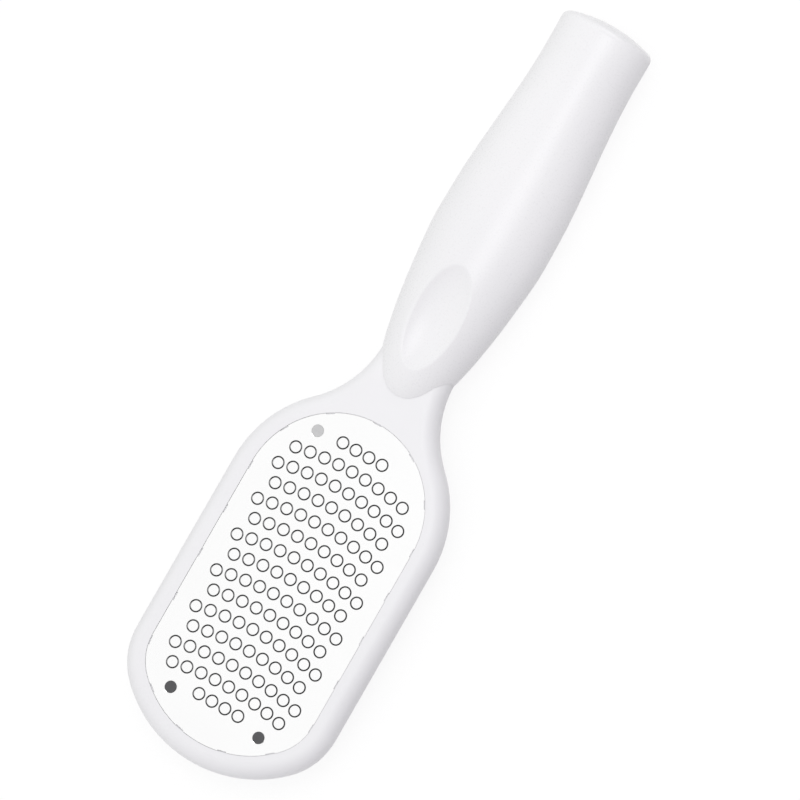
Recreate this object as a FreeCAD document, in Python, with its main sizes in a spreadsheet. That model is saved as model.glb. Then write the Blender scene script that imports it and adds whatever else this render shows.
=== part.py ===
import FreeCAD, Part
import math
import os
import Sketcher

# A foot file lying on its back. X runs across the tool, +Y from the head towards the end of the grip,
# and +Z out of the rasp plate. Every piece is drawn in a tool frame whose origin is the tip of the head
# on the mid-plane that head and grip share, and is then placed so that the tool stands on Z = 0.

# Driving sizes in millimetres. A station is a distance along the tool from the tip of the head.
SIZES = {
    # Outline and edges of the head and neck
    "head_width": 58.8,
    "head_thickness": 9.0,
    "head_end_flatness": 5.1,
    "head_corner_radius": 18.2,
    "head_edge_radius": 3.8,
    "shoulder_radius": 31.2,
    "neck_radius": 27.5,
    "neck_width": 20.5,
    "neck_end": 114.9,
    # Pocket for the rasp plate
    "rim_width": 5.4,
    "rim_end": 5.2,
    "neck_rim": 18.3,
    "pocket_end_flatness": 4.6,
    "pocket_corner_radius": 13.8,
    "pocket_depth": 0.7,
    "floor_thickness": 2.2,
    # Hollow behind the floor, with its ribs
    "ledge_width": 1.4,
    "rib_thickness": 1.2,
    "rib_spacing": 16.0,
    "rib_clearance": 1.9,
    # Back panel and its pegs
    "panel_thickness": 1.6,
    "panel_gap": 0.15,
    "peg_diameter": 2.6,
    "peg_length": 3.2,
    "peg_gap": 0.05,
    "peg_boss_wall": 1.2,
    "peg_inset": 7.6,
    # Rasp plate and its rings
    "plate_thickness": 0.6,
    "plate_gap": 0.1,
    "tab_notch_length": 2.4,
    "tab_notch_depth": 0.3,
    "tab_notch_shift": 0.5,
    "ring_crest_diameter": 3.0,
    "ring_crest_width": 0.12,
    "ring_base_width": 0.42,
    "ring_height": 0.5,
    "ring_pitch": 4.0,
    "row_pitch": 5.16,
    "row_radius": 80.0,
    "end_row_pitch": 3.88,
    "pattern_shift": 1.05,
    "pattern_margin": 4.95,
    # Rivets and washers
    "rivet_head_diameter": 3.1,
    "rivet_shank_diameter": 2.0,
    "rivet_tail_diameter": 3.4,
    "rivet_tail_face": 2.7,
    "rivet_tail_height": 0.8,
    "rivet_recess": 0.2,
    "rivet_gap": 0.05,
    "far_rivet_inset": 4.53,
    "far_rivet_angle": 33.2,
    "near_rivet_inset": 4.0,
    "near_rivet_angle": 41.3,
    "washer_diameter": 5.0,
    "washer_thickness": 0.5,
    # Tang inside the grip
    "tang_width": 14.0,
    "tang_thickness": 6.0,
    "tang_tail": 8.0,
    "tang_gap": 0.12,
    # Grip: nose laid over the neck, then swell, belly, taper and straight end
    "nose_lap": 12.0,
    "swell_length": 33.7,
    "belly_length": 5.2,
    "taper_length": 47.4,
    "straight_length": 10.8,
    "belly_width": 31.2,
    "belly_thickness": 22.0,
    "waist_width": 25.4,
    "waist_thickness": 20.0,
    "grip_wall": 2.4,
    "grip_end_wall": 4.0,
    "grip_end_radius": 36.0,
    "grip_edge_radius": 2.2,
    "lap_gap": 0.12,
    "parting_gap": 0.1,
    # Pin of the front half that locks the collar to the tang
    "collar_pin_offset": 5.6,
    "collar_pin_diameter": 4.0,
    "collar_pin_depth": 1.8,
    "collar_pin_root": 0.9,
    "collar_pin_gap": 0.05,
    # Thumb dish
    "dish_offset": 11.5,
    "dish_length": 32.6,
    "dish_width": 16.6,
    "dish_depth": 2.8,
    "dish_height": 6.0,
    "dish_tilt": 6.2,
    "dish_rim_radius": 1.2,
    # Screws and plugs
    "screw_diameter": 2.9,
    "screw_length": 14.0,
    "screw_point": 1.6,
    "screw_head_diameter": 5.6,
    "screw_head_face": 3.9,
    "screw_head_height": 2.0,
    "screw_slot_width": 0.9,
    "screw_slot_length": 3.4,
    "screw_slot_depth": 1.1,
    "screw_seat_wall": 3.08,
    "screw_gap": 0.2,
    "pilot_gap": 0.05,
    "screw_offset": 33.1,
    "screw_spacing": 36.0,
    "boss_wall": 1.7,
    "plug_gap": 0.08,
}

# Counts, shares and shape powers, which are not lengths
SHORT_ROW_COUNT = 9
LONG_ROW_COUNT = 10
END_ROW_COUNT = 4
CROSS_RIB_COUNT = 4
SCREW_COUNT = 2
EDGE_SHARE = 0.45
TAB_NOTCH_COUNT = 19
NOTCH_STEP_COUNT = 50
NOSE_WIDTH_POWERS = (1.2, 3.14)
NOSE_THICKNESS_POWERS = (2.25, 2.6)
NOSE_SECTION_SHARES = (0.035, 0.06, 0.10, 0.16, 0.25, 0.37, 0.52, 0.70, 0.86, 1.0)
TAPER_SECTION_SHARES = (0.0, 0.2, 0.4, 0.6, 0.8, 1.0)
FIRST_HOLLOW_INDEX = 6

# Distance below which two places count as the same
PLACE_TOLERANCE = 1e-6

# Heights in the tool frame, as expressions of the sizes
FACE = "sizes.head_thickness / 2"
POCKET_FLOOR = f"({FACE} - sizes.pocket_depth)"
FLOOR_BACK = f"({POCKET_FLOOR} - sizes.floor_thickness)"
PANEL_SEAT = f"(sizes.panel_thickness - {FACE})"
PLATE_TOP = f"({POCKET_FLOOR} + sizes.plate_thickness)"

# Half width, near end and middle of the pocket for the plate, and the centres of its rounded ends
POCKET_HALF = "(sizes.head_width / 2 - sizes.rim_width)"
POCKET_FINISH = "(sizes.neck_end - sizes.neck_rim)"
POCKET_MIDDLE = f"((sizes.rim_end + {POCKET_FINISH}) / 2)"
FAR_CENTRE = f"(sizes.rim_end + {POCKET_HALF} + sizes.pocket_end_flatness)"
NEAR_CENTRE = f"({POCKET_FINISH} - {POCKET_HALF})"

# Stations of the grip
GRIP_NOSE = "(sizes.neck_end - sizes.nose_lap)"
BELLY_START = "(sizes.neck_end + sizes.swell_length)"
BELLY_END = f"({BELLY_START} + sizes.belly_length)"
WAIST = f"({BELLY_END} + sizes.taper_length)"
GRIP_END = f"({WAIST} + sizes.straight_length)"

# Half height of the slot for the tang, and the seat of the screw heads below the mid-plane
SLOT = "(sizes.tang_thickness / 2 + sizes.tang_gap)"
SCREW_SEAT = f"({SLOT} + sizes.screw_seat_wall)"

doc = FreeCAD.newDocument("foot_file")
sheet = doc.addObject("Spreadsheet::Sheet", "sizes")
for row, (name, size) in enumerate(SIZES.items(), start=1):
    sheet.set(f"A{row}", name)
    sheet.set(f"B{row}", str(size))
    sheet.setAlias(f"B{row}", name)
doc.recompute()


def value(expression):
    """Number that an expression of the sizes has now."""
    return float(sheet.evalExpression(expression))


def bind(feature, bindings):
    """Bind properties of a feature to expressions of the sizes."""
    for name, expression in bindings.items():
        feature.setExpression(name, expression)


def set_in_place(feature, x="0", y="0", z="0"):
    """Move a finished piece from the tool frame to its place above Z = 0."""
    bind(feature, {
        "Placement.Base.x": x,
        "Placement.Base.y": f"{y} - {GRIP_END} / 2",
        "Placement.Base.z": f"{z} + sizes.belly_thickness / 2",
    })


# Sketch helpers
def dimension(sketch, kind, target, expression):
    """Add one driving dimension and bind it."""
    constraint = sketch.addConstraint(Sketcher.Constraint(kind, *target, value(expression)))
    sketch.setExpression(f"Constraints[{constraint}]", expression)


def pin(sketch, kind, geometry, point, expression):
    """Hold one coordinate of a sketch point, measured from the sketch origin."""
    if value(expression) < 0:
        dimension(sketch, kind, (geometry, point, -1, 1), f"-({expression})")
    else:
        dimension(sketch, kind, (-1, 1, geometry, point), expression)


def pin_point(sketch, geometry, point, x, y):
    """Hold both coordinates of a sketch point; "0" keeps it on an axis."""
    for kind, axis, expression in (("DistanceX", -2, x), ("DistanceY", -1, y)):
        if expression == "0":
            sketch.addConstraint(Sketcher.Constraint("PointOnObject", geometry, point, axis))
        else:
            pin(sketch, kind, geometry, point, expression)


def line(start, finish):
    return Part.LineSegment(FreeCAD.Vector(*start, 0), FreeCAD.Vector(*finish, 0))


def arc(centre, radius, first, last):
    circle = Part.Circle(FreeCAD.Vector(*centre, 0), FreeCAD.Vector(0, 0, 1), radius)
    return Part.ArcOfCircle(circle, first, last)


def add_polygon(sketch, corners):
    """Closed outline of straight lines, each corner given as two expressions."""
    points = [(value(x), value(y)) for x, y in corners]
    count = len(points)
    first = sketch.GeometryCount
    for index in range(count):
        sketch.addGeometry(line(points[index], points[(index + 1) % count]))
    for index in range(count):
        following = first + (index + 1) % count
        sketch.addConstraint(Sketcher.Constraint("Coincident", first + index, 2, following, 1))
        pin_point(sketch, first + index, 1, *corners[index])


def add_rectangle(sketch, left, right, low, high):
    add_polygon(sketch, [(left, low), (right, low), (right, high), (left, high)])


def add_circle(sketch, x, y, diameter):
    centre = FreeCAD.Vector(value(x), value(y), 0)
    circle = sketch.addGeometry(Part.Circle(centre, FreeCAD.Vector(0, 0, 1), value(diameter) / 2))
    pin_point(sketch, circle, 3, x, y)
    dimension(sketch, "Diameter", (circle,), diameter)


def far_end(half_width, end_radius, corner_radius, start):
    """Places on a three-arc end: side height, end arc centre height and joining angle."""
    rise = math.sqrt((end_radius - corner_radius) ** 2 - (half_width - corner_radius) ** 2)
    end_centre = start + end_radius
    return end_centre - rise, end_centre, math.atan2(-rise, half_width - corner_radius)


def oblong_sizes(inset):
    """Half width, which is the near end's radius, and far end radius of the pocket drawn in by an inset."""
    half = f"({POCKET_HALF} - {inset})"
    return half, f"({half} + sizes.pocket_end_flatness)"


def add_oblong(sketch, inset):
    """Outline of the plate pocket, drawn in by an inset: three-arc far end and round near end."""
    half, end = oblong_sizes(inset)
    corner = f"(sizes.pocket_corner_radius - {inset})"
    width, radius, small, low, high = map(value, (half, end, corner, f"{FAR_CENTRE} - {end}", NEAR_CENTRE))
    side, centre, angle = far_end(width, radius, small, low)
    sketch.addGeometry([
        arc((0, centre), radius, -math.pi - angle, angle),
        arc((width - small, side), small, angle, 0),
        line((width, side), (width, high)),
        arc((0, high), width, 0, math.pi),
        line((-width, high), (-width, side)),
        arc((small - width, side), small, math.pi, math.pi - angle),
    ])
    for index in range(6):
        sketch.addConstraint(Sketcher.Constraint("Tangent", index, 2, (index + 1) % 6, 1))
    for index in (2, 4):
        sketch.addConstraint(Sketcher.Constraint("Vertical", index))
    pin_point(sketch, 0, 3, "0", FAR_CENTRE)
    dimension(sketch, "Radius", (0,), end)
    dimension(sketch, "Radius", (1,), corner)
    dimension(sketch, "Radius", (5,), corner)
    pin(sketch, "DistanceX", 2, 1, half)
    pin(sketch, "DistanceX", 4, 1, f"-{half}")
    pin(sketch, "DistanceY", 3, 3, NEAR_CENTRE)


def add_paddle_outline(sketch, grow):
    """Outline of head, shoulders and neck, from the tip of the head to the end of the neck, grown evenly."""
    half = f"(sizes.head_width / 2 + {grow})"
    neck = f"(sizes.neck_width / 2 + {grow})"
    end_centre = "(sizes.head_width / 2 + sizes.head_end_flatness)"
    end_radius = f"({end_centre} + {grow})"
    corner_radius = f"(sizes.head_corner_radius + {grow})"
    shoulder_radius = f"(sizes.shoulder_radius + {grow})"
    neck_radius = f"(sizes.neck_radius - {grow})"
    neck_end = f"(sizes.neck_end + {grow})"
    width, slim, radius, tip = map(value, (half, neck, end_radius, f"-{grow}"))
    small, shoulder, hollow, finish = map(value, (corner_radius, shoulder_radius, neck_radius, neck_end))
    side, centre, angle = far_end(width, radius, small, tip)
    turn = math.acos(1 - (width - slim) / (shoulder + hollow))
    shoulder_start = finish - (shoulder + hollow) * math.sin(turn)
    sketch.addGeometry([
        arc((0, centre), radius, -math.pi - angle, angle),
        arc((width - small, side), small, angle, 0),
        line((width, side), (width, shoulder_start)),
        arc((width - shoulder, shoulder_start), shoulder, 0, turn),
        arc((slim + hollow, finish), hollow, math.pi, math.pi + turn),
        line((slim, finish), (-slim, finish)),
        arc((-slim - hollow, finish), hollow, -turn, 0),
        arc((shoulder - width, shoulder_start), shoulder, math.pi - turn, math.pi),
        line((-width, shoulder_start), (-width, side)),
        arc((small - width, side), small, math.pi, math.pi - angle),
    ])
    smooth_joins = ((0, 2, 1, 1), (1, 2, 2, 1), (2, 2, 3, 1), (3, 2, 4, 2),
                    (6, 1, 7, 1), (7, 2, 8, 1), (8, 2, 9, 1), (9, 2, 0, 1))
    for join in smooth_joins:
        sketch.addConstraint(Sketcher.Constraint("Tangent", *join))
    sketch.addConstraint(Sketcher.Constraint("Coincident", 4, 1, 5, 1))
    sketch.addConstraint(Sketcher.Constraint("Coincident", 5, 2, 6, 2))
    sketch.addConstraint(Sketcher.Constraint("Horizontal", 5))
    for index in (2, 8):
        sketch.addConstraint(Sketcher.Constraint("Vertical", index))
    pin_point(sketch, 0, 3, "0", end_centre)
    dimension(sketch, "Radius", (0,), end_radius)
    for index in (1, 9):
        dimension(sketch, "Radius", (index,), corner_radius)
    for index in (3, 7):
        dimension(sketch, "Radius", (index,), shoulder_radius)
    for index in (4, 6):
        dimension(sketch, "Radius", (index,), neck_radius)
        pin(sketch, "DistanceY", index, 3, neck_end)
    pin(sketch, "DistanceX", 2, 1, half)
    pin(sketch, "DistanceX", 8, 1, f"-{half}")
    pin(sketch, "DistanceX", 5, 1, neck)
    pin(sketch, "DistanceX", 5, 2, f"-{neck}")
    pin(sketch, "DistanceY", 5, 1, neck_end)


# Body helpers
def new_sketch(body, role, height="0"):
    """Sketch on one of the body's origin planes, moved along the plane's normal."""
    sketch = body.newObject("Sketcher::SketchObject", "Sketch")
    plane = next(item for item in body.Origin.OriginFeatures if item.Role == role)
    sketch.AttachmentSupport = [(plane, "")]
    sketch.MapMode = "FlatFace"
    sketch.setExpression("AttachmentOffset.Base.z", height)
    return sketch


def add_pad(body, sketch, length, symmetric=False):
    """Material from a sketch along its normal, or evenly on both sides of it."""
    pad = body.newObject("PartDesign::Pad", "Pad")
    pad.Profile = sketch
    pad.SideType = "Symmetric" if symmetric else "One side"
    bind(pad, {"Length": length})
    doc.recompute()
    return pad


def add_pocket(body, sketch, length, upward=False, symmetric=False):
    """Cut from a sketch, downward unless told otherwise, which has to remove material."""
    before = body.Shape.Volume
    pocket = body.newObject("PartDesign::Pocket", "Pocket")
    pocket.Profile = sketch
    pocket.SideType = "Symmetric" if symmetric else "One side"
    pocket.Reversed = upward
    bind(pocket, {"Length": length})
    doc.recompute()
    if body.Shape.Volume >= before:
        raise RuntimeError(f"a pocket of {body.Label} cuts nothing")
    return pocket


def new_body(label):
    body = doc.addObject("PartDesign::Body", label)
    body.Label = label
    return body


def turned_body(label, profile):
    """Body turned about its Z axis from corners given as radius and height."""
    body = new_body(label)
    sketch = new_sketch(body, "XZ_Plane")
    add_polygon(sketch, profile)
    turning = body.newObject("PartDesign::Revolution", "Revolution")
    turning.Profile = sketch
    turning.ReferenceAxis = (sketch, ["V_Axis"])
    turning.Angle = 360
    doc.recompute()
    return body


# Places that several pieces share
PLATE_HALF = f"({POCKET_HALF} - sizes.plate_gap)"
FAR_REACH = f"({PLATE_HALF} + sizes.pocket_end_flatness - sizes.far_rivet_inset)"
NEAR_REACH = f"({PLATE_HALF} - sizes.near_rivet_inset)"
FAR_RIVET_SIDE = f"({FAR_REACH} * sin(sizes.far_rivet_angle))"
FAR_RIVET_STATION = f"({FAR_CENTRE} - {FAR_REACH} * cos(sizes.far_rivet_angle))"
NEAR_RIVET_SIDE = f"({NEAR_REACH} * sin(sizes.near_rivet_angle))"
NEAR_RIVET_STATION = f"({NEAR_CENTRE} + {NEAR_REACH} * cos(sizes.near_rivet_angle))"
RIVET_PLACES = (
    (f"-{FAR_RIVET_SIDE}", FAR_RIVET_STATION),
    (FAR_RIVET_SIDE, FAR_RIVET_STATION),
    (f"-{NEAR_RIVET_SIDE}", NEAR_RIVET_STATION),
)
RIB_ROOM = "(sizes.washer_diameter / 2 + sizes.rib_clearance + sizes.rib_thickness / 2)"
RIB_SIDE = f"(min({FAR_RIVET_SIDE}; {NEAR_RIVET_SIDE}) - {RIB_ROOM})"
PEG_SIDE = f"({POCKET_HALF} - sizes.peg_inset)"
PEG_PLACES = (
    (f"-{PEG_SIDE}", POCKET_MIDDLE),
    (PEG_SIDE, POCKET_MIDDLE),
    ("0", f"({POCKET_MIDDLE} - sizes.rib_spacing)"),
    ("0", f"({POCKET_MIDDLE} + sizes.rib_spacing)"),
)
SCREW_STATIONS = [
    f"(sizes.neck_end + sizes.screw_offset + {index} * sizes.screw_spacing)" for index in range(SCREW_COUNT)
]
TANG_END = f"({SCREW_STATIONS[-1]} + sizes.tang_tail)"
HEAD_SLOPE = (
    "((sizes.rivet_head_diameter - sizes.rivet_shank_diameter) / 2"
    " / (sizes.plate_thickness - sizes.rivet_recess))"
)
COLLAR_PIN = "(sizes.neck_end + sizes.collar_pin_offset)"
COLLAR_PIN_TIP = f"({SLOT} + sizes.collar_pin_depth)"
COLLAR_PIN_BORE = "(sizes.collar_pin_diameter + 2 * sizes.collar_pin_gap)"


def rounded_blank(label, grow="0"):
    """Body with the form of head and neck, grown evenly and rounded, but square at the end of the neck."""
    body = new_body(label)
    outline = new_sketch(body, "XY_Plane")
    add_paddle_outline(outline, grow)
    blank = add_pad(body, outline, f"sizes.head_thickness + 2 * {grow}", symmetric=True)
    face_height = value(f"{FACE} + {grow}")
    neck_end = value(f"sizes.neck_end + {grow}")
    rims = []
    for index, edge in enumerate(blank.Shape.Edges, start=1):
        extent = edge.BoundBox
        level = extent.ZLength < PLACE_TOLERANCE
        on_a_face = level and abs(abs(extent.ZMin) - face_height) < PLACE_TOLERANCE
        if on_a_face and extent.YMin < neck_end - PLACE_TOLERANCE:
            rims.append(f"Edge{index}")
    rounding = body.newObject("PartDesign::Fillet", "Fillet")
    rounding.Base = (blank, rims)
    radius = f"min(sizes.head_edge_radius; {EDGE_SHARE} * sizes.head_thickness)"
    bind(rounding, {"Radius": f"{radius} + {grow}"})
    doc.recompute()
    return body


def make_paddle():
    """Head, neck and tang: one moulding with a plate pocket in front and a ribbed hollow behind."""
    body = rounded_blank("paddle")
    pocket = new_sketch(body, "XY_Plane", FACE)
    add_oblong(pocket, "0")
    add_pocket(body, pocket, "sizes.pocket_depth")

    panel_seat = new_sketch(body, "XY_Plane", f"-{FACE}")
    add_oblong(panel_seat, "0")
    add_pocket(body, panel_seat, "sizes.panel_thickness", upward=True)

    hollow = new_sketch(body, "XY_Plane", PANEL_SEAT)
    add_oblong(hollow, "sizes.ledge_width")
    hollow_depth = f"{FLOOR_BACK} - {PANEL_SEAT}"
    add_pocket(body, hollow, hollow_depth, upward=True)

    # Ribs between floor and back panel, ending in the walls of the hollow
    half_rib = "sizes.rib_thickness / 2"
    reach, far_reach = oblong_sizes("sizes.ledge_width / 2")
    for index in range(CROSS_RIB_COUNT):
        station = f"({POCKET_MIDDLE} + ({index} - {(CROSS_RIB_COUNT - 1) / 2}) * sizes.rib_spacing)"
        rib = new_sketch(body, "XY_Plane", PANEL_SEAT)
        add_rectangle(rib, f"-{reach}", reach, f"{station} - {half_rib}", f"{station} + {half_rib}")
        add_pad(body, rib, hollow_depth)
    for side in ("-", ""):
        place = f"{side}{RIB_SIDE}"
        rib = new_sketch(body, "XY_Plane", PANEL_SEAT)
        add_rectangle(
            rib, f"{place} - {half_rib}", f"{place} + {half_rib}",
            f"{FAR_CENTRE} - sqrt(pow({far_reach}; 2) - pow({RIB_SIDE}; 2))",
            f"{NEAR_CENTRE} + sqrt(pow({reach}; 2) - pow({RIB_SIDE}; 2))")
        add_pad(body, rib, hollow_depth)

    # Tubes that take the pegs of the back panel
    tube = "(sizes.peg_diameter + 2 * sizes.peg_gap + 2 * sizes.peg_boss_wall)"
    tubes = new_sketch(body, "XY_Plane", PANEL_SEAT)
    for x, y in PEG_PLACES:
        add_circle(tubes, x, y, tube)
    add_pad(body, tubes, hollow_depth)
    sockets = new_sketch(body, "XY_Plane", PANEL_SEAT)
    for x, y in PEG_PLACES:
        add_circle(sockets, x, y, "sizes.peg_diameter + 2 * sizes.peg_gap")
    add_pocket(body, sockets, "sizes.peg_length + sizes.peg_gap", upward=True)

    rivet_holes = new_sketch(body, "XY_Plane", FACE)
    for x, y in RIVET_PLACES:
        add_circle(rivet_holes, x, y, "sizes.rivet_shank_diameter + 2 * sizes.rivet_gap")
    add_pocket(body, rivet_holes, "sizes.pocket_depth + sizes.floor_thickness")

    # Tang, rooted in the neck, with clearance holes for the collar pin and the grip screws
    half_tang = "sizes.tang_width / 2"
    tang = new_sketch(body, "XY_Plane")
    add_rectangle(tang, f"-{half_tang}", half_tang, "sizes.neck_end - sizes.tang_thickness", TANG_END)
    add_pad(body, tang, "sizes.tang_thickness", symmetric=True)
    tang_holes = new_sketch(body, "XY_Plane")
    add_circle(tang_holes, "0", COLLAR_PIN, COLLAR_PIN_BORE)
    for station in SCREW_STATIONS:
        add_circle(tang_holes, "0", station, "sizes.screw_diameter + 2 * sizes.screw_gap")
    add_pocket(body, tang_holes, "sizes.tang_thickness * 2", symmetric=True)
    set_in_place(body)
    return [body]


def make_back_panel():
    """Flush panel over the paddle's hollow back, with four pegs."""
    body = new_body("back_panel")
    outline = new_sketch(body, "XY_Plane", f"-{FACE}")
    add_oblong(outline, "sizes.panel_gap")
    add_pad(body, outline, "sizes.panel_thickness")
    pegs = new_sketch(body, "XY_Plane", PANEL_SEAT)
    for x, y in PEG_PLACES:
        add_circle(pegs, x, y, "sizes.peg_diameter")
    add_pad(body, pegs, "sizes.peg_length")
    set_in_place(body)
    return [body]


def ring_centres(outline):
    """Places of the cutting rings: curved rows, set off by half a pitch in turn, and two straight ones."""
    middle = value(f"{POCKET_MIDDLE} + sizes.pattern_shift")
    row_pitch = value("sizes.row_pitch")
    margin = value("sizes.pattern_margin")
    half_length = value(f"({POCKET_FINISH} - sizes.rim_end) / 2 - sizes.plate_gap")
    last_row = math.floor((half_length - 2 * margin + value("sizes.ring_crest_diameter") / 2) / row_pitch)
    arc_radius = value("sizes.row_radius")
    ring_angle = value("sizes.ring_pitch") / arc_radius
    centres = []
    for row in range(-last_row, last_row + 1):
        station = middle + row * row_pitch
        if abs(row) == last_row:
            count, straight = END_ROW_COUNT, True
        else:
            count, straight = (SHORT_ROW_COUNT if row % 2 == 0 else LONG_ROW_COUNT), False
        for index in range(count):
            step = index - (count - 1) / 2
            if straight:
                centre = FreeCAD.Vector(step * value("sizes.end_row_pitch"), station, 0)
            else:
                angle = step * ring_angle
                drop = arc_radius * (1 - math.cos(angle))
                centre = FreeCAD.Vector(arc_radius * math.sin(angle), station - drop, 0)
            inside = outline.isInside(centre, PLACE_TOLERANCE, True)
            if inside and outline.OuterWire.distToShape(Part.Vertex(centre))[0] > margin:
                centres.append(centre)
    return centres


def make_tab_notches(outline):
    """Cutters of the notches around the plate's edge, where its tabs to the sheet were broken off."""
    steps = TAB_NOTCH_COUNT * NOTCH_STEP_COUNT
    points = outline.OuterWire.discretize(Number=steps + 1)[:-1]
    crown = FreeCAD.Vector(-value("sizes.tab_notch_shift"), value(POCKET_FINISH), 0)
    first = min(range(steps), key=lambda index: points[index].distanceToPoint(crown))
    length = value("sizes.tab_notch_length")
    depth = value("sizes.tab_notch_depth")
    cutters = []
    for number in range(TAB_NOTCH_COUNT):
        index = (first + number * NOTCH_STEP_COUNT) % steps
        along = points[(index + 1) % steps] - points[index - 1]
        corner = FreeCAD.Vector(-length / 2, -depth, 0)
        cutter = Part.makeBox(length, 2 * depth, value("sizes.plate_thickness"), corner)
        turn = FreeCAD.Rotation(FreeCAD.Vector(1, 0, 0), along)
        place = points[index] + FreeCAD.Vector(0, 0, value(POCKET_FLOOR))
        cutter.Placement = FreeCAD.Placement(place, turn)
        cutters.append(cutter)
    notches = doc.addObject("Part::Feature", "tab_notches")
    notches.Shape = Part.makeCompound(cutters)
    return notches


def make_rasp_plate():
    """Stainless sheet with countersunk rivet holes, notched edge and a field of raised cutting rings."""
    blank = new_body("plate_blank")
    outline = new_sketch(blank, "XY_Plane", POCKET_FLOOR)
    add_oblong(outline, "sizes.plate_gap")
    add_pad(blank, outline, "sizes.plate_thickness")

    bore = "(sizes.rivet_shank_diameter / 2 + sizes.rivet_gap)"
    sinks = []
    for x, y in RIVET_PLACES:
        sink = doc.addObject("Part::Cone", "rivet_sink")
        bind(sink, {
            "Radius1": bore,
            "Radius2": f"{bore} + {HEAD_SLOPE} * sizes.plate_thickness",
            "Height": "sizes.plate_thickness",
            "Placement.Base.x": x,
            "Placement.Base.y": y,
            "Placement.Base.z": POCKET_FLOOR,
        })
        sinks.append(sink)
    doc.recompute()
    bottom_face = min(blank.Shape.Faces, key=lambda face: face.CenterOfMass.z)
    flat_outline = bottom_face.translated(FreeCAD.Vector(0, 0, -value(POCKET_FLOOR)))
    holes = doc.addObject("Part::MultiFuse", "plate_holes")
    holes.Shapes = sinks + [make_tab_notches(flat_outline)]
    drilled = doc.addObject("Part::Cut", "drilled_plate")
    drilled.Base = blank
    drilled.Tool = holes
    doc.recompute()

    # One ring is a ridge with sloping flanks and a narrow crest, turned about its own middle
    crest = value("sizes.ring_crest_diameter / 2")
    half_crest = value("sizes.ring_crest_width / 2")
    half_base = value("sizes.ring_base_width / 2")
    top = value("sizes.ring_height")
    ridge = Part.makePolygon([
        FreeCAD.Vector(crest - half_base, 0, 0),
        FreeCAD.Vector(crest + half_base, 0, 0),
        FreeCAD.Vector(crest + half_crest, 0, top),
        FreeCAD.Vector(crest - half_crest, 0, top),
        FreeCAD.Vector(crest - half_base, 0, 0),
    ])
    ring = Part.Face(ridge).revolve(FreeCAD.Vector(0, 0, 0), FreeCAD.Vector(0, 0, 1), 360)
    lift = FreeCAD.Vector(0, 0, value(PLATE_TOP))
    rings = [ring.translated(centre + lift) for centre in ring_centres(flat_outline)]
    field = doc.addObject("Part::Feature", "ring_field")
    field.Shape = Part.makeCompound(rings)
    print("cutting rings", len(rings))

    plate = doc.addObject("Part::MultiFuse", "rasp_plate")
    plate.Label = "rasp_plate"
    plate.Shapes = [drilled, field]
    plate.Refine = False
    set_in_place(plate)
    return [plate]


def make_rivets():
    """Countersunk rivets through plate and floor, a little below the plate, clinched over the washers."""
    shank = "sizes.rivet_shank_diameter / 2"
    head_top = f"({PLATE_TOP} - sizes.rivet_recess)"
    tail = "sizes.rivet_tail_diameter / 2"
    clinch = f"({FLOOR_BACK} - sizes.washer_thickness)"
    profile = [
        ("0", head_top),
        ("sizes.rivet_head_diameter / 2", head_top),
        (shank, POCKET_FLOOR),
        (shank, clinch),
        (tail, clinch),
        ("sizes.rivet_tail_face / 2", f"{clinch} - sizes.rivet_tail_height"),
        ("0", f"{clinch} - sizes.rivet_tail_height"),
    ]
    rivets = []
    for number, (x, y) in enumerate(RIVET_PLACES, start=1):
        rivet = turned_body(f"plate_rivet_{number}", profile)
        set_in_place(rivet, x, y)
        rivets.append(rivet)
    return rivets


def make_washers():
    """Washers between the paddle's floor and the clinched tails."""
    bore = "sizes.rivet_shank_diameter / 2 + sizes.rivet_gap"
    rim = "sizes.washer_diameter / 2"
    low = f"({FLOOR_BACK} - sizes.washer_thickness)"
    profile = [(bore, low), (rim, low), (rim, FLOOR_BACK), (bore, FLOOR_BACK)]
    washers = []
    for number, (x, y) in enumerate(RIVET_PLACES, start=1):
        washer = turned_body(f"rivet_washer_{number}", profile)
        set_in_place(washer, x, y)
        washers.append(washer)
    return washers


# Grip helpers
def nose_share(share, powers):
    """Part of the belly's size that the grip has at a share of the way from its nose to its belly."""
    power, root_power = powers
    return round((1 - (1 - share) ** power) ** (1 / root_power), 5)


def grip_sections():
    """Stations, widths and thicknesses of the grip's oval sections, nose first, as expressions."""
    sections = []
    for share in NOSE_SECTION_SHARES:
        sections.append((
            f"{GRIP_NOSE} + {share} * ({BELLY_START} - {GRIP_NOSE})",
            f"sizes.belly_width * {nose_share(share, NOSE_WIDTH_POWERS)}",
            f"sizes.belly_thickness * {nose_share(share, NOSE_THICKNESS_POWERS)}",
        ))
    for share in TAPER_SECTION_SHARES:
        blend = round((1 - math.cos(math.pi * share)) / 2, 5)
        sections.append((
            f"{BELLY_END} + {share} * sizes.taper_length",
            f"sizes.belly_width + {blend} * (sizes.waist_width - sizes.belly_width)",
            f"sizes.belly_thickness + {blend} * (sizes.waist_thickness - sizes.belly_thickness)",
        ))
    return sections


def oval_loft(name, sections, wall="0"):
    """Solid through oval sections, each drawn in by a wall."""
    ovals = []
    for station, width, thickness in sections:
        oval = doc.addObject("Part::Ellipse", f"{name}_section")
        oval.Placement.Rotation = FreeCAD.Rotation(FreeCAD.Vector(1, 0, 0), 90)
        bind(oval, {
            "MajorRadius": f"({width}) / 2 - {wall}",
            "MinorRadius": f"({thickness}) / 2 - {wall}",
            "Placement.Base.y": station,
        })
        ovals.append(oval)
    doc.recompute()
    loft = doc.addObject("Part::Loft", name)
    loft.Sections = ovals
    loft.Solid = True
    loft.Ruled = False
    doc.recompute()
    return loft


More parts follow.
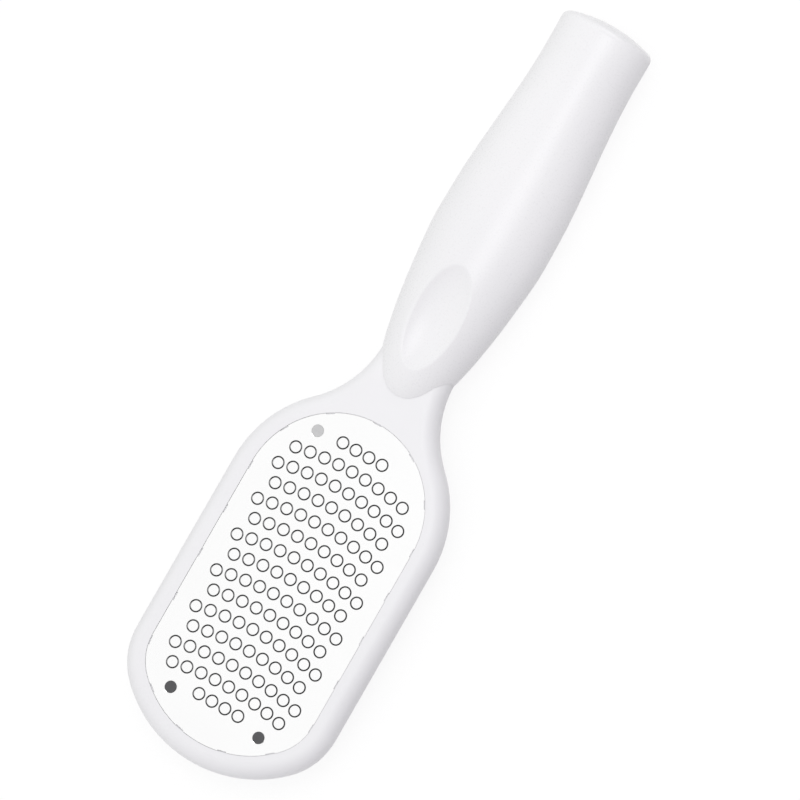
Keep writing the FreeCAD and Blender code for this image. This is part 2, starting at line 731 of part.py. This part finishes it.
def box(name, half_width, low, high, bottom, top):
    """Block centred across the tool, between two stations and two heights."""
    block = doc.addObject("Part::Box", name)
    bind(block, {
        "Length": f"2 * ({half_width})",
        "Width": f"({high}) - ({low})",
        "Height": f"({top}) - ({bottom})",
        "Placement.Base.x": f"-({half_width})",
        "Placement.Base.y": low,
        "Placement.Base.z": bottom,
    })
    return block


def post(name, station, diameter, bottom, top):
    """Upright cylinder on the tool's centre line."""
    cylinder = doc.addObject("Part::Cylinder", name)
    bind(cylinder, {
        "Radius": f"({diameter}) / 2",
        "Height": f"({top}) - ({bottom})",
        "Placement.Base.y": station,
        "Placement.Base.z": bottom,
    })
    return cylinder


def cut(name, base, tool):
    result = doc.addObject("Part::Cut", name)
    result.Base = base
    result.Tool = tool
    return result


def join(name, shapes):
    result = doc.addObject("Part::MultiFuse", name)
    result.Shapes = shapes
    return result


def common(name, base, tool):
    result = doc.addObject("Part::Common", name)
    result.Base = base
    result.Tool = tool
    return result


def make_grip_blank():
    """Outer form of the whole grip: oval sections with a domed end and a rounded edge."""
    end = (GRIP_END, "sizes.waist_width", "sizes.waist_thickness")
    ovals = oval_loft("grip_form", grip_sections() + [end])
    dome = doc.addObject("Part::Sphere", "end_dome")
    bind(dome, {
        "Radius": "sizes.grip_end_radius",
        "Placement.Base.y": f"{GRIP_END} - sizes.grip_end_radius",
    })
    past_end = box("end_block", "sizes.belly_width", WAIST, f"{GRIP_END} + sizes.straight_length",
                   "-sizes.belly_thickness", "sizes.belly_thickness")
    domed = cut("domed_grip", ovals, cut("end_trim", past_end, dome))
    doc.recompute()
    radius = value("sizes.grip_edge_radius")
    rims = []
    for index, edge in enumerate(domed.Shape.Edges, start=1):
        if edge.BoundBox.YMin > value(WAIST):
            rims.append((index, radius, radius))
    blank = doc.addObject("Part::Fillet", "grip_blank")
    blank.Base = domed
    blank.Edges = rims
    doc.recompute()
    return blank


def make_dish(name, wall="0"):
    """Egg-shaped cutter of the thumb dish, grown by a wall to keep the hollow clear of it."""
    station = "(sizes.neck_end + sizes.dish_offset)"
    along = f"(({station} - {GRIP_NOSE}) / ({BELLY_START} - {GRIP_NOSE}))"
    power, root_power = NOSE_THICKNESS_POWERS
    crown = f"sizes.belly_thickness / 2 * pow(1 - pow(1 - {along}; {power}); {1 / root_power})"
    lift = "(sizes.dish_height - sizes.dish_depth)"
    opening = f"sqrt(1 - pow({lift} / sizes.dish_height; 2))"
    egg = doc.addObject("Part::Ellipsoid", name)
    egg.Placement.Rotation = FreeCAD.Rotation(FreeCAD.Vector(1, 0, 0), value("sizes.dish_tilt"))
    bind(egg, {
        "Radius1": f"sizes.dish_height + {wall}",
        "Radius2": f"sizes.dish_width / 2 / {opening} + {wall}",
        "Radius3": f"sizes.dish_length / 2 / {opening} + {wall}",
        "Placement.Base.y": station,
        "Placement.Base.z": f"{crown} + {lift}",
    })
    return egg


def make_dished_blank(blank):
    """Outer form of the grip with the thumb dish and its softened rim."""
    dished = cut("dished_grip", blank, make_dish("thumb_dish"))
    doc.recompute()
    radius = value("sizes.dish_rim_radius")
    rims = []
    for index, edge in enumerate(dished.Shape.Edges, start=1):
        faces = dished.Shape.ancestorsOfType(edge, Part.Face)
        if len(faces) == 2 and edge.BoundBox.ZMin > 0 and edge.BoundBox.YMax < value(WAIST):
            rims.append((index, radius, radius))
    soft = doc.addObject("Part::Fillet", "soft_rim")
    soft.Base = dished
    soft.Edges = rims
    doc.recompute()
    return soft


def make_hollow():
    """Space inside the grip, from behind the collar that holds the tang to the end wall."""
    finish = (f"{GRIP_END} - sizes.grip_end_wall", "sizes.waist_width", "sizes.waist_thickness")
    space = oval_loft("grip_hollow", grip_sections()[FIRST_HOLLOW_INDEX:] + [finish], "sizes.grip_wall")
    return cut("clear_hollow", space, make_dish("dish_wall", "sizes.grip_wall"))


def make_grip():
    """Front and back halves of the grip, clamped on neck and tang, with plugs over the screw holes."""
    blank = make_grip_blank()
    dished = make_dished_blank(blank)
    neck_space = rounded_blank("neck_space", "sizes.lap_gap")
    tang_space = box("tang_space", "sizes.tang_width / 2 + sizes.tang_gap", "sizes.neck_end",
                     f"{TANG_END} + sizes.tang_gap", f"-{SLOT}", SLOT)
    shell = cut("grip_shell", dished, join("grip_spaces", [make_hollow(), neck_space, tang_space]))

    half_gap = "sizes.parting_gap / 2"
    far = "sizes.belly_thickness"
    front_side = box("front_side", "sizes.belly_width", "0", f"2 * {GRIP_END}", half_gap, far)
    back_side = box("back_side", "sizes.belly_width", "0", f"2 * {GRIP_END}", f"-{far}", f"-{half_gap}")
    bore = "(sizes.screw_diameter + 2 * sizes.screw_gap)"
    pilot = "(sizes.screw_diameter + 2 * sizes.pilot_gap)"
    counterbore = "(sizes.screw_head_diameter + 2 * sizes.screw_gap)"
    front_boss = f"({bore} + 2 * sizes.boss_wall)"
    back_boss = f"({counterbore} + 2 * sizes.boss_wall)"
    pilot_top = f"(sizes.screw_length - {SCREW_SEAT} + sizes.screw_gap)"
    plug_top = f"(-{SCREW_SEAT} - sizes.screw_head_height - sizes.screw_gap)"
    front_posts = []
    front_holes = []
    back_posts = []
    back_holes = [post("pin_socket", COLLAR_PIN, COLLAR_PIN_BORE,
                       f"-{COLLAR_PIN_TIP} - sizes.collar_pin_gap", "0")]
    plugs = []
    for number, station in enumerate(SCREW_STATIONS, start=1):
        front_posts.append(post("front_post", station, front_boss, SLOT, far))
        front_holes.append(post("pilot_hole", station, pilot, "0", pilot_top))
        back_posts.append(post("back_post", station, back_boss, f"-{far}", f"-{SLOT}"))
        back_holes.append(post("screw_hole", station, bore, f"-{far}", "0"))
        back_holes.append(post("head_hole", station, counterbore, f"-{far}", f"-{SCREW_SEAT}"))
        stopper = post("plug_post", station, f"{counterbore} - 2 * sizes.plug_gap", f"-{far}", plug_top)
        plug = common(f"screw_plug_{number}", blank, stopper)
        plug.Label = f"screw_plug_{number}"
        plugs.append(plug)

    front_bosses = common("front_bosses", dished, join("front_posts", front_posts))
    pin_root = f"{SLOT} + sizes.collar_pin_root"
    collar_pin = post("collar_pin", COLLAR_PIN, "sizes.collar_pin_diameter", f"-{COLLAR_PIN_TIP}", pin_root)
    front_shell = common("front_shell", shell, front_side)
    front_solid = join("front_solid", [front_shell, front_bosses, collar_pin])
    front = cut("grip_front", front_solid, join("front_cuts", front_holes))
    front.Label = "grip_front"

    back_bosses = common("back_bosses", blank, join("back_posts", back_posts))
    back_solid = join("back_solid", [common("back_shell", shell, back_side), back_bosses])
    back = cut("grip_back", back_solid, join("back_cuts", back_holes))
    back.Label = "grip_back"
    pieces = [front, back] + plugs
    for piece in pieces:
        set_in_place(piece)
    return pieces


def make_screws():
    """Pan-headed screws with a cross slot, driven from the back through both halves and the tang."""
    shank = "sizes.screw_diameter / 2"
    head = "sizes.screw_head_diameter / 2"
    crown = "-sizes.screw_head_height"
    profile = [
        ("0", crown),
        ("sizes.screw_head_face / 2", crown),
        (head, f"{crown} / 2"),
        (head, "0"),
        (shank, "0"),
        (shank, "sizes.screw_length - sizes.screw_point"),
        ("0", "sizes.screw_length"),
    ]
    long_side = "sizes.screw_slot_length / 2"
    short_side = "sizes.screw_slot_width / 2"
    screws = []
    for number, station in enumerate(SCREW_STATIONS, start=1):
        screw = turned_body(f"grip_screw_{number}", profile)
        for across, along in ((long_side, short_side), (short_side, long_side)):
            slot = new_sketch(screw, "XY_Plane", crown)
            add_rectangle(slot, f"-{across}", across, f"-{along}", along)
            add_pocket(screw, slot, "sizes.screw_slot_depth", upward=True)
        set_in_place(screw, "0", station, f"-{SCREW_SEAT}")
        screws.append(screw)
    return screws


def check_document():
    """Stop if any object failed."""
    for item in doc.Objects:
        if "Invalid" in item.State or "Error" in item.State:
            raise RuntimeError(f"{item.Label} failed: {item.State}")


def main():
    pieces = make_paddle() + make_back_panel() + make_rasp_plate() + make_rivets() + make_washers()
    pieces += make_grip() + make_screws()
    doc.recompute()
    check_document()
    for piece in pieces:
        shape = piece.Shape
        if shape.isNull() or not shape.isValid() or len(shape.Solids) != 1:
            raise RuntimeError(f"{piece.Label} is not one valid solid")
    os.makedirs("parts", exist_ok=True)
    for piece in pieces:
        piece.Shape.exportStep(f"parts/{piece.Label}.step")
        extent = piece.Shape.BoundBox
        print(f"{piece.Label}: volume {piece.Shape.Volume:.1f}, "
              f"{extent.XLength:.2f} x {extent.YLength:.2f} x {extent.ZLength:.2f}")


main()
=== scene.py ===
import math

import bpy
from mathutils import Matrix, Vector


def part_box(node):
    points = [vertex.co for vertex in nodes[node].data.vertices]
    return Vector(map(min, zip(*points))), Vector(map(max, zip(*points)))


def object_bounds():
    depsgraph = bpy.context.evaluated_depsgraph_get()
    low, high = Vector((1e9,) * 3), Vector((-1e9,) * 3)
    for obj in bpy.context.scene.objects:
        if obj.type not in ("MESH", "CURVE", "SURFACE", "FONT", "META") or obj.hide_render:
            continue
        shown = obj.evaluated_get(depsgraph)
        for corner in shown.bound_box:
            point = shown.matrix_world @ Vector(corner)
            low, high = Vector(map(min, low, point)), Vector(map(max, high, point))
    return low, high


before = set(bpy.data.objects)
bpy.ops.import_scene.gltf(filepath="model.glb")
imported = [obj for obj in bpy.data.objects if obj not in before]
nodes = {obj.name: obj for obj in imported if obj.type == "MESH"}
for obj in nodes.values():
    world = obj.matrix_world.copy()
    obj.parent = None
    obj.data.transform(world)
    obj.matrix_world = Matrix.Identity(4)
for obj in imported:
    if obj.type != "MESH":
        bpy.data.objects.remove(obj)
cad_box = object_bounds()
scene = bpy.context.scene
scene.view_settings.view_transform = "Standard"

MM = 0.001

# The photograph looks at the tool rolled about its length, with the grip towards the upper right
ROLL = math.radians(15)
IMAGE_TILT = math.radians(29.87)
VIEW_WIDTH = 0.2
LENS = 700.0
SENSOR = 36.0
FAR_CLIP = 100.0
AIM_ALONG = -1.55 * MM
AIM_ACROSS = 0.25 * MM
MID_HEIGHT = 11 * MM

# Bands of a noise's values that are spread over a whole range. Scales of noises are per metre.
NARROW_BAND = (0.35, 0.65)
WIDE_BAND = (0.3, 0.7)

# White plastic: a pale and a deep tone that drift over it, its middle roughness, and its mould's grain
GRIP_TONES = ((0.895, 0.895, 0.902), (0.88, 0.88, 0.889))
GRIP_ROUGHNESS = 0.29
HEAD_TONES = ((0.885, 0.885, 0.895), (0.87, 0.87, 0.882))
HEAD_ROUGHNESS = 0.4
PLASTIC_IOR = 1.52
DRIFT_SCALE = 38
GRAIN_SCALE = 2600
GRAIN_BELOW = 0.04
GRAIN_ABOVE = 0.05
GRAIN_DEPTH = 0.012 * MM
GRAIN_STRENGTH = 0.25

# Brushed sheet of the rasp plate
SHEET_TONES = ((0.95, 0.95, 0.95), (0.98, 0.98, 0.98))
SHEET_SCALE = 55
SHEET_ROUGHNESS = (0.1, 0.15)
BRUSH_STRETCH = (60, 9000, 60)
BRUSH_DEPTH = 0.002 * MM

# Raised rings of the rasp plate: height, and the rise from the root over which their walls take on a
# painted dark reflection
RING_HEIGHT = 0.5 * MM
ROOT_RISE = 0.06 * MM
# Painted dark reflection on the rings' walls: its tones and the scale over which they drift
DARK_REFLECTION_TONES = ((0.003, 0.003, 0.003), (0.028, 0.028, 0.029))
DARK_REFLECTION_SCALE = 450
RING_ROUGHNESS = 0.42

# Painted highlight on the rings' walls: the side whose walls are painted lighter as if lit, turned from +X
# towards +Y, the cosines between which the painted highlight sets in, and its share on the rings from the
# plate's left to its right
PAINTED_LIT_SIDE = math.radians(22)
PAINTED_HIGHLIGHT_TONE = (0.45, 0.45, 0.455)
HIGHLIGHT_COSINES = (0.76, 0.95)
HIGHLIGHT_PLACES = (-20 * MM, 14 * MM)
HIGHLIGHT_SHARES = (1.0, 0.1)

# Rivets and plated fasteners: a dark and a light tone, and the range of the roughness.
# The rivets come in a copy darkened as painted shade and a copy lightened as painted light
SHADED_RIVET_TONES = ((0.085, 0.085, 0.088), (0.11, 0.11, 0.114))
SHADED_RIVET_ROUGHNESS = (0.35, 0.5)
LIT_RIVET_TONES = ((0.46, 0.46, 0.465), (0.55, 0.55, 0.555))
LIT_RIVET_ROUGHNESS = (0.4, 0.55)
ZINC_TONES = ((0.52, 0.53, 0.55), (0.64, 0.65, 0.67))
ZINC_ROUGHNESS = (0.28, 0.42)
CLOUD_SCALE = 900
SCRATCH_STRETCH = (300, 5000, 300)
SCRATCH_DEPTH = 0.004 * MM

# Strength of the brush marks and scratches
MARK_STRENGTH = 0.4

# Floor: its reach, the share of light it throws back, how much of its shade shows and how much it glows
FLOOR_REACH = 4.0
FLOOR_BOUNCE = 0.76
FLOOR_SHADOW = 0.15
FLOOR_GLOW = 0.87

# Soft light of the studio from the tool's left, from past its head and its grip, and from above,
# where it falls off towards the horizon by a power of the height
LEFT_LIGHT = 0.354
HEAD_LIGHT = 0.58
END_LIGHT = 0.32
TOP_LIGHT = 1.124
TOP_POWER = 2.0

# The light is white, and turns faintly violet towards the tool's right
WHITE = (1, 1, 1)
VIOLET = (0.95, 0.89, 1)
VIOLET_BAND = (0.1, 0.9)

# Soft square lamps: place, width and power
TOP_LAMP = ((0.06, 0.06, 0.65), 0.25, 0.48)
END_LAMP = ((0.05, 0.6, 0.35), 0.3, 0.596)

# Places of a mix node's two inputs and of its output, by the kind of what it mixes
MIX_SOCKETS = {"FLOAT": (2, 3, 0), "RGBA": (6, 7, 2)}


# Node helpers
def empty_tree(owner):
    """Cleared node tree of a material or world."""
    owner.use_nodes = True
    owner.node_tree.nodes.clear()
    return owner.node_tree


def new_material(name):
    """Material with its node tree and principled shader."""
    material = bpy.data.materials.new(name)
    tree = empty_tree(material)
    output = tree.nodes.new("ShaderNodeOutputMaterial")
    shader = tree.nodes.new("ShaderNodeBsdfPrincipled")
    tree.links.new(shader.outputs["BSDF"], output.inputs["Surface"])
    return material, tree, shader


def feed(tree, socket, source):
    """Link a socket to another node's output, or set it to a value."""
    if isinstance(source, bpy.types.NodeSocket):
        tree.links.new(source, socket)
    else:
        socket.default_value = source


def opaque(tone):
    """Colour of a tone, with full cover."""
    return (*tone, 1)


def object_place(tree, stretch=(1, 1, 1)):
    """Coordinates in metres that move with the object, stretched along the axes."""
    mapping = tree.nodes.new("ShaderNodeMapping")
    mapping.inputs["Scale"].default_value = stretch
    place = tree.nodes.new("ShaderNodeTexCoord")
    tree.links.new(place.outputs["Object"], mapping.inputs["Vector"])
    return mapping.outputs["Vector"]


def split_axes(tree, place):
    """Node whose outputs are the X, Y and Z of a place."""
    split = tree.nodes.new("ShaderNodeSeparateXYZ")
    tree.links.new(place, split.inputs["Vector"])
    return split


def noise(tree, place, scale=1, detail=2, roughness=0.5):
    """Cloudy values from 0 to 1 over a place."""
    texture = tree.nodes.new("ShaderNodeTexNoise")
    tree.links.new(place, texture.inputs["Vector"])
    texture.inputs["Scale"].default_value = scale
    texture.inputs["Detail"].default_value = detail
    texture.inputs["Roughness"].default_value = roughness
    return texture.outputs["Fac"]


def remap(tree, source, band, target=(0.0, 1.0)):
    """Value taken from a band to a target range and held inside it."""
    ranged = tree.nodes.new("ShaderNodeMapRange")
    feed(tree, ranged.inputs["Value"], source)
    for name, number in zip(("From Min", "From Max", "To Min", "To Max"), (*band, *target)):
        ranged.inputs[name].default_value = number
    return ranged.outputs["Result"]


def combine(tree, operation, first, second):
    """Outcome of a sum, product or like operation on two values."""
    operator = tree.nodes.new("ShaderNodeMath")
    operator.operation = operation
    feed(tree, operator.inputs[0], first)
    feed(tree, operator.inputs[1], second)
    return operator.outputs["Value"]


def mix(tree, kind, factor, first, second):
    """Blend of two values or two colours by a factor."""
    mixer = tree.nodes.new("ShaderNodeMix")
    mixer.data_type = kind
    first_socket, second_socket, result = MIX_SOCKETS[kind]
    feed(tree, mixer.inputs["Factor"], factor)
    feed(tree, mixer.inputs[first_socket], first)
    feed(tree, mixer.inputs[second_socket], second)
    return mixer.outputs[result]


def mix_tones(tree, factor, tones):
    """Blend of a pair of tones by a factor."""
    return mix(tree, "RGBA", factor, opaque(tones[0]), opaque(tones[1]))


def bump(tree, height, distance, strength):
    """Surface direction tilted by a height."""
    bumps = tree.nodes.new("ShaderNodeBump")
    tree.links.new(height, bumps.inputs["Height"])
    bumps.inputs["Distance"].default_value = distance
    bumps.inputs["Strength"].default_value = strength
    return bumps.outputs["Normal"]


# Materials
def moulded_plastic(name, tones, roughness):
    """Satin white plastic with a faint drift of tone and the fine grain of its mould."""
    material, tree, shader = new_material(name)
    place = object_place(tree)
    drift = remap(tree, noise(tree, place, DRIFT_SCALE, detail=3), NARROW_BAND)
    grain = noise(tree, place, GRAIN_SCALE, roughness=0.6)
    rough = remap(tree, grain, WIDE_BAND, (roughness - GRAIN_BELOW, roughness + GRAIN_ABOVE))
    feed(tree, shader.inputs["Base Color"], mix_tones(tree, drift, tones))
    feed(tree, shader.inputs["Roughness"], rough)
    feed(tree, shader.inputs["Normal"], bump(tree, grain, GRAIN_DEPTH, GRAIN_STRENGTH))
    shader.inputs["IOR"].default_value = PLASTIC_IOR
    return material


def painted_highlight_share(tree, split):
    """Share of painted highlight on the rings' walls, by the side they face and their place across the
    plate.
    """
    facing = tree.nodes.new("ShaderNodeVectorMath")
    facing.operation = "DOT_PRODUCT"
    tree.links.new(tree.nodes.new("ShaderNodeTexCoord").outputs["Normal"], facing.inputs[0])
    facing.inputs[1].default_value = (math.cos(PAINTED_LIT_SIDE), math.sin(PAINTED_LIT_SIDE), 0)
    side = remap(tree, facing.outputs["Value"], HIGHLIGHT_COSINES)
    across = remap(tree, split.outputs["X"], HIGHLIGHT_PLACES, HIGHLIGHT_SHARES)
    return combine(tree, "MULTIPLY", side, across)


def ring_plate(name):
    """Bright brushed sheet with rings whose walls carry a painted dark reflection and, on one side, a
    painted highlight.
    """
    material, tree, shader = new_material(name)
    place = object_place(tree)
    split = split_axes(tree, place)
    brushed = noise(tree, object_place(tree, BRUSH_STRETCH), roughness=0.6)
    plate_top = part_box("rasp_plate")[1].z - RING_HEIGHT
    raised = remap(tree, split.outputs["Z"], (plate_top, plate_top + ROOT_RISE))
    sheet = mix_tones(tree, noise(tree, place, SHEET_SCALE, detail=3), SHEET_TONES)
    uneven = remap(tree, noise(tree, place, DARK_REFLECTION_SCALE), NARROW_BAND)
    # Painted dark reflection on the rings' walls
    painted_dark_reflection = mix_tones(tree, uneven, DARK_REFLECTION_TONES)
    # Painted highlight: walls facing one side are painted lighter, more so on the plate's left
    ring = mix(tree, "RGBA", painted_highlight_share(tree, split), painted_dark_reflection, opaque(PAINTED_HIGHLIGHT_TONE))
    smooth = remap(tree, brushed, WIDE_BAND, SHEET_ROUGHNESS)
    feed(tree, shader.inputs["Base Color"], mix(tree, "RGBA", raised, sheet, ring))
    feed(tree, shader.inputs["Roughness"], mix(tree, "FLOAT", raised, smooth, RING_ROUGHNESS))
    feed(tree, shader.inputs["Normal"], bump(tree, brushed, BRUSH_DEPTH, MARK_STRENGTH))
    shader.inputs["Metallic"].default_value = 1.0
    return material


def plain_metal(name, tones, roughness):
    """Turned or plated metal with a cloudy tone and fine scratches."""
    material, tree, shader = new_material(name)
    cloud = noise(tree, object_place(tree), CLOUD_SCALE, detail=4, roughness=0.6)
    scratches = noise(tree, object_place(tree, SCRATCH_STRETCH))
    feed(tree, shader.inputs["Base Color"], mix_tones(tree, cloud, tones))
    feed(tree, shader.inputs["Roughness"], remap(tree, scratches, WIDE_BAND, roughness))
    feed(tree, shader.inputs["Normal"], bump(tree, scratches, SCRATCH_DEPTH, MARK_STRENGTH))
    shader.inputs["Metallic"].default_value = 1.0
    return material


def dress(names, material):
    """Give CAD nodes their finished material."""
    for name in names:
        mesh = nodes[name].data
        mesh.materials.clear()
        mesh.materials.append(material)


def make_materials():
    """Dress every piece of the tool."""
    grip_white = moulded_plastic("grip_plastic", GRIP_TONES, GRIP_ROUGHNESS)
    head_white = moulded_plastic("head_plastic", HEAD_TONES, HEAD_ROUGHNESS)
    shaded_rivet = plain_metal("shaded_rivet", SHADED_RIVET_TONES, SHADED_RIVET_ROUGHNESS)
    lit_rivet = plain_metal("lit_rivet", LIT_RIVET_TONES, LIT_RIVET_ROUGHNESS)
    zinc = plain_metal("zinc_plate", ZINC_TONES, ZINC_ROUGHNESS)
    dress(("grip_front", "grip_back", "screw_plug_1", "screw_plug_2"), grip_white)
    dress(("paddle", "back_panel"), head_white)
    dress(("rasp_plate",), ring_plate("ring_plate"))
    # Painted shade on two rivets and painted light on the third: the same metal in a dark and a pale copy
    dress(("plate_rivet_1", "plate_rivet_2"), shaded_rivet)
    dress(("plate_rivet_3",), lit_rivet)
    dress(("rivet_washer_1", "rivet_washer_2", "rivet_washer_3", "grip_screw_1", "grip_screw_2"), zinc)


# Camera, floor and light
def make_camera():
    """Long lens, rolled about the tool's length as in the photograph."""
    across = Vector((math.cos(ROLL), 0, -math.sin(ROLL)))
    along = Vector((0, 1, 0))
    right = along * math.sin(IMAGE_TILT) + across * math.cos(IMAGE_TILT)
    up = along * math.cos(IMAGE_TILT) - across * math.sin(IMAGE_TILT)
    back = right.cross(up)
    aim = Vector((0, 0, MID_HEIGHT)) + along * AIM_ALONG + across * AIM_ACROSS
    data = bpy.data.cameras.new("photo_camera")
    data.lens = LENS
    data.sensor_width = SENSOR
    data.clip_end = FAR_CLIP
    camera = bpy.data.objects.new("photo_camera", data)
    scene.collection.objects.link(camera)
    rotation = Matrix((right, up, back)).transposed().to_4x4()
    camera.matrix_world = Matrix.Translation(aim + back * (VIEW_WIDTH * LENS / SENSOR)) @ rotation
    scene.camera = camera


def split_rays(tree, output, lighting, backdrop):
    """Output of one shader that lights the tool and of another that the eye, metal and glass see."""
    rays = tree.nodes.new("ShaderNodeLightPath")
    glossy = combine(tree, "MAXIMUM", rays.outputs["Is Camera Ray"], rays.outputs["Is Glossy Ray"])
    seen = combine(tree, "MAXIMUM", glossy, rays.outputs["Is Transmission Ray"])
    choice = tree.nodes.new("ShaderNodeMixShader")
    tree.links.new(seen, choice.inputs["Fac"])
    tree.links.new(lighting, choice.inputs[1])
    tree.links.new(backdrop, choice.inputs[2])
    tree.links.new(choice.outputs["Shader"], output.inputs["Surface"])


def matte_grey(tree, level):
    """Plain matte shader of a grey level."""
    matte = tree.nodes.new("ShaderNodeBsdfDiffuse")
    matte.inputs["Color"].default_value = (level, level, level, 1)
    return matte.outputs["BSDF"]


def make_floor():
    """White floor under the tool, which shows its shadow."""
    height = cad_box[0].z
    corners = [(x * FLOOR_REACH, y * FLOOR_REACH, height) for x, y in ((-1, -1), (1, -1), (1, 1), (-1, 1))]
    mesh = bpy.data.meshes.new("floor")
    mesh.from_pydata(corners, [], [(0, 1, 2, 3)])
    floor = bpy.data.objects.new("floor", mesh)
    scene.collection.objects.link(floor)
    material = bpy.data.materials.new("white_floor")
    tree = empty_tree(material)
    output = tree.nodes.new("ShaderNodeOutputMaterial")
    glow = tree.nodes.new("ShaderNodeEmission")
    glow.inputs["Strength"].default_value = FLOOR_GLOW
    white = tree.nodes.new("ShaderNodeAddShader")
    tree.links.new(matte_grey(tree, FLOOR_SHADOW), white.inputs[0])
    tree.links.new(glow.outputs["Emission"], white.inputs[1])
    split_rays(tree, output, matte_grey(tree, FLOOR_BOUNCE), white.outputs["Shader"])
    mesh.materials.append(material)


def make_world():
    """Soft light from above and from all sides but the tool's right, and a white backdrop."""
    world = bpy.data.worlds.new("studio")
    scene.world = world
    tree = empty_tree(world)
    output = tree.nodes.new("ShaderNodeOutputWorld")
    split = split_axes(tree, tree.nodes.new("ShaderNodeTexCoord").outputs["Generated"])
    upward = combine(tree, "POWER", remap(tree, split.outputs["Z"], (0.0, 1.0)), TOP_POWER)
    level = combine(tree, "MULTIPLY", upward, TOP_LIGHT)
    for axis, band, levels in (
            ("X", (-1.0, 0.0), (LEFT_LIGHT, 0.0)),
            ("Y", (-1.0, 0.0), (HEAD_LIGHT, 0.0)),
            ("Y", (0.0, 1.0), (0.0, END_LIGHT))):
        level = combine(tree, "ADD", level, remap(tree, split.outputs[axis], band, levels))
    tint = mix_tones(tree, remap(tree, split.outputs["X"], VIOLET_BAND), (WHITE, VIOLET))
    light = tree.nodes.new("ShaderNodeBackground")
    tree.links.new(tint, light.inputs["Color"])
    tree.links.new(level, light.inputs["Strength"])
    backdrop = tree.nodes.new("ShaderNodeBackground")
    backdrop.inputs["Color"].default_value = opaque(WHITE)
    split_rays(tree, output, light.outputs["Background"], backdrop.outputs["Background"])


def make_lamp(name, place, width, power):
    """Soft square lamp that looks at the tool."""
    data = bpy.data.lights.new(name, "AREA")
    data.size = width
    data.energy = power
    lamp = bpy.data.objects.new(name, data)
    scene.collection.objects.link(lamp)
    lamp.location = place
    lamp.rotation_mode = "QUATERNION"
    lamp.rotation_quaternion = (-Vector(place)).to_track_quat("-Z", "Y")


make_materials()
make_camera()
make_floor()
make_world()
make_lamp("top_lamp", *TOP_LAMP)
make_lamp("end_lamp", *END_LAMP)
